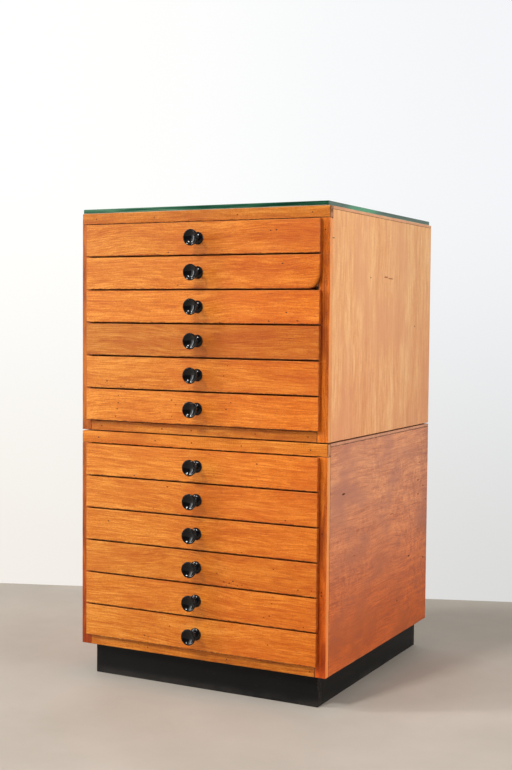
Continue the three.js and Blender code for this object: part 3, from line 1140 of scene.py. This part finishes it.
# How bright the surroundings are as light: the dim room in front, the wall behind, and the ceiling.
ROOM_LIGHT = 0.10
WALL_LIGHT = 0.65
CEILING_LIGHT = 0.55


def stage_quad(name, points, material):
    mesh = bpy.data.meshes.new(name)
    mesh.from_pydata(points, [], [(0, 1, 2, 3)])
    mesh.materials.append(material)
    made = linked(name, mesh)
    return made


def make_floor():
    """A plain pale floor."""
    reach = FLOOR_REACH
    g = Graph(bpy.data.materials.new("floor_plaster"))
    place = g.node("ShaderNodeTexCoord").outputs["Object"]
    cloud = g.noise(place, 3.0, detail=5, roughness=0.6)
    colour = g.ramp(cloud, [(0.3, (0.40, 0.36, 0.305)), (0.7, (0.475, 0.43, 0.375))])
    plaster = g.finish(colour, g.add(0.7, g.centred(cloud, 0.1)))
    corners = [(-reach, -reach, 0), (reach, -reach, 0), (reach, reach, 0), (-reach, reach, 0)]
    stage_quad("studio_floor", corners, plaster)


def make_wall():
    """A white wall behind, seen only from its front, so that it never hides the cabinet's back."""
    g = Graph(bpy.data.materials.new("white_wall"))
    place = g.node("ShaderNodeTexCoord").outputs["Object"]
    # Painted light and shade: the wall glows, whitest high on the left and darker towards the right and the
    # floor.
    to_right = g.span(g.axis(place, 0), WALL_LIT, WALL_SHADED)
    low = g.span(g.axis(place, 2), 1.04, -0.08)
    lit = g.mix(low, LIT_HIGH, LIT_LOW)
    shaded = g.mix(low, SHADED_HIGH, (0.70, 0.70, 0.69))
    shown = g.node("ShaderNodeEmission", {"Color": g.mix(to_right, lit, shaded)})
    clear = g.node("ShaderNodeBsdfTransparent")
    back = g.node("ShaderNodeNewGeometry").outputs["Backfacing"]
    both = g.node("ShaderNodeMixShader", {0: back, 1: shown.outputs[0], 2: clear.outputs[0]})
    g.node("ShaderNodeOutputMaterial", {"Surface": both.outputs[0]})
    reach = WALL_SIZE
    left, right = WALL_PLACE - WALL_SLOPE * reach, WALL_PLACE + WALL_SLOPE * reach
    corners = [(-reach, left, 0), (reach, right, 0), (reach, right, reach), (-reach, left, reach)]
    wall = stage_quad("studio_wall", corners, g.owner)
    wall.visible_diffuse = False
    wall.visible_glossy = False
    wall.visible_transmission = False
    wall.visible_shadow = False


def view_axes():
    """The camera's right, up and forward directions."""
    yaw, pitch = CAMERA_YAW, CAMERA_PITCH
    level_share = math.cos(pitch)
    forward = Vector((-math.sin(yaw) * level_share, math.cos(yaw) * level_share, math.sin(pitch)))
    level = Vector((math.cos(yaw), math.sin(yaw), 0))
    up = level.cross(forward)
    right = math.cos(CAMERA_ROLL) * level + math.sin(CAMERA_ROLL) * up
    up = -math.sin(CAMERA_ROLL) * level + math.cos(CAMERA_ROLL) * up
    return right, up, forward


def make_world():
    """A soft white surround, whitest high on the left, that lights the scene less than it shows."""
    world = bpy.data.worlds.new("studio")
    bpy.context.scene.world = world
    g = Graph(world)
    way = g.node("ShaderNodeTexCoord").outputs["Generated"]
    right, _, _ = view_axes()
    sideways = g.node("ShaderNodeVectorMath", {0: way, 1: right}, operation="DOT_PRODUCT").outputs["Value"]
    to_right = g.span(sideways, -0.20, 0.24)
    low = g.span(g.axis(way, 2), 0.12, -0.24)
    lit = g.mix(low, LIT_HIGH, LIT_LOW)
    shadow = g.mix(low, SHADED_HIGH, (0.78, 0.82, 0.86))
    wall = g.mix(to_right, lit, g.mix(1.0, lit, shadow, "MULTIPLY"))
    seen = g.node("ShaderNodeBackground", {"Color": wall, "Strength": 1.0})
    behind = g.span(g.axis(way, 1), -0.45, 0.35, ROOM_LIGHT, WALL_LIGHT)
    above = g.span(g.axis(way, 2), 0.2, 0.9, 0.0, CEILING_LIGHT)
    strength = g.math("MAXIMUM", behind, above)
    light = g.node("ShaderNodeBackground", {"Color": (1.0, 0.98, 0.95, 1), "Strength": strength})
    path = g.node("ShaderNodeLightPath")
    inputs = {0: path.outputs["Is Camera Ray"], 1: light.outputs[0], 2: seen.outputs[0]}
    mixed = g.node("ShaderNodeMixShader", inputs)
    g.node("ShaderNodeOutputWorld", {"Surface": mixed.outputs[0]})


# The lights as (name, place, what each faces, width and height, watts).
CABINET = (0, -0.2, 0.6)
LIGHTS = (
    ("high_window", (-1.2, -5.0, 4.7), CABINET, (0.8, 0.8), 205),
    ("second_window", (-4.2, -2.9, 4.4), CABINET, (0.45, 0.45), 68),
    ("tall_window", (-4.3, -2.8, 2.2), CABINET, (0.95, 4.2), 140),
    ("left_wall", (-3.3, -3.4, 1.6), CABINET, (1.8, 3.2), 46),
    ("right_fill", (4.6, -0.6, 2.0), (0.2, 0, 0.5), (2.8, 2.8), 122),
)


def area_light(name, place, target, size, power):
    lamp = bpy.data.lights.new(name, "AREA")
    lamp.shape = "RECTANGLE"
    lamp.size, lamp.size_y = size
    lamp.energy = power
    made = linked(name, lamp)
    made.location = place
    made.rotation_euler = (Vector(target) - Vector(place)).to_track_quat("-Z", "Y").to_euler()


def make_camera():
    data = bpy.data.cameras.new("camera")
    data.lens = CAMERA_LENS
    data.sensor_width = CAMERA_SENSOR
    data.clip_start = 0.05
    camera = linked("camera", data)
    right, up, forward = view_axes()
    turn = Matrix((right, up, -forward)).transposed().to_4x4()
    camera.matrix_world = Matrix.Translation(CAMERA_PLACE) @ turn
    bpy.context.scene.camera = camera


make_floor()
make_wall()
make_world()
for light in LIGHTS:
    area_light(*light)
make_camera()
bpy.context.scene.view_settings.view_transform = "Standard"
